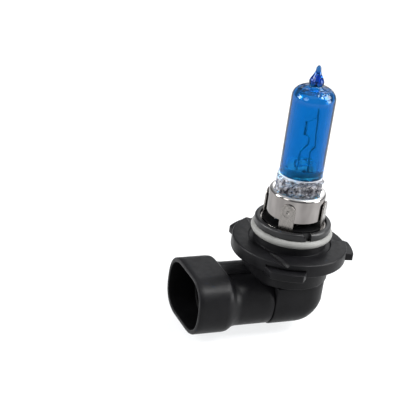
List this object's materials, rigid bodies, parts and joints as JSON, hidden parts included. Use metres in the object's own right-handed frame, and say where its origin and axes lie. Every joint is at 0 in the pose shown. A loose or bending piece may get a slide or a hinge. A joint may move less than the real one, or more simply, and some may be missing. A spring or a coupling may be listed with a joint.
{
  "type": "headlight bulb",
  "caption": "Halogen headlight bulb: blue quartz capsule with axial filament in a polished cup, keyed plastic base with a seal ring, and a right-angle plug socket.",
  "frame": {"origin": "on the lamp's axis in the plane of the flange's front face, the lamp's reference plane", "axes": "+Z along the lamp's axis towards the glass tip; the connector's mouth faces -X"},
  "size_m": [0.0457, 0.0336, 0.0736],
  "materials": {
    "blue_quartz": "clear quartz tube with a transparent blue coating",
    "clear_quartz": "clear quartz",
    "tungsten": "drawn tungsten wire",
    "molybdenum": "drawn molybdenum wire and foil",
    "polished_steel": "polished stainless steel",
    "spring_steel": "stamped stainless steel",
    "black_plastic": "moulded glass-filled black plastic, fine texture",
    "silicone": "grey silicone rubber",
    "resin": "cast resin",
    "tinned_brass": "tin plated"
  },
  "bodies": {
    "root": {"quartz_envelope": "blue_quartz", "quartz_bridge": "clear_quartz", "filament_coil": "tungsten", "short_lead": "molybdenum", "long_lead": "molybdenum", "foil_left": "molybdenum", "foil_right": "molybdenum", "outer_lead_left": "molybdenum", "outer_lead_right": "molybdenum", "focusing_cup": "polished_steel", "pinch_clip": "spring_steel", "tongue_ring": "spring_steel", "base_flange": "black_plastic", "elbow_housing": "black_plastic", "connector_housing": "black_plastic", "terminal_carrier": "black_plastic", "seal_ring": "silicone", "potting_plug": "resin", "terminal_left": "tinned_brass", "terminal_right": "tinned_brass", "crimp_sleeve_left": "tinned_brass", "crimp_sleeve_right": "tinned_brass"}
  },
  "joints": []
}
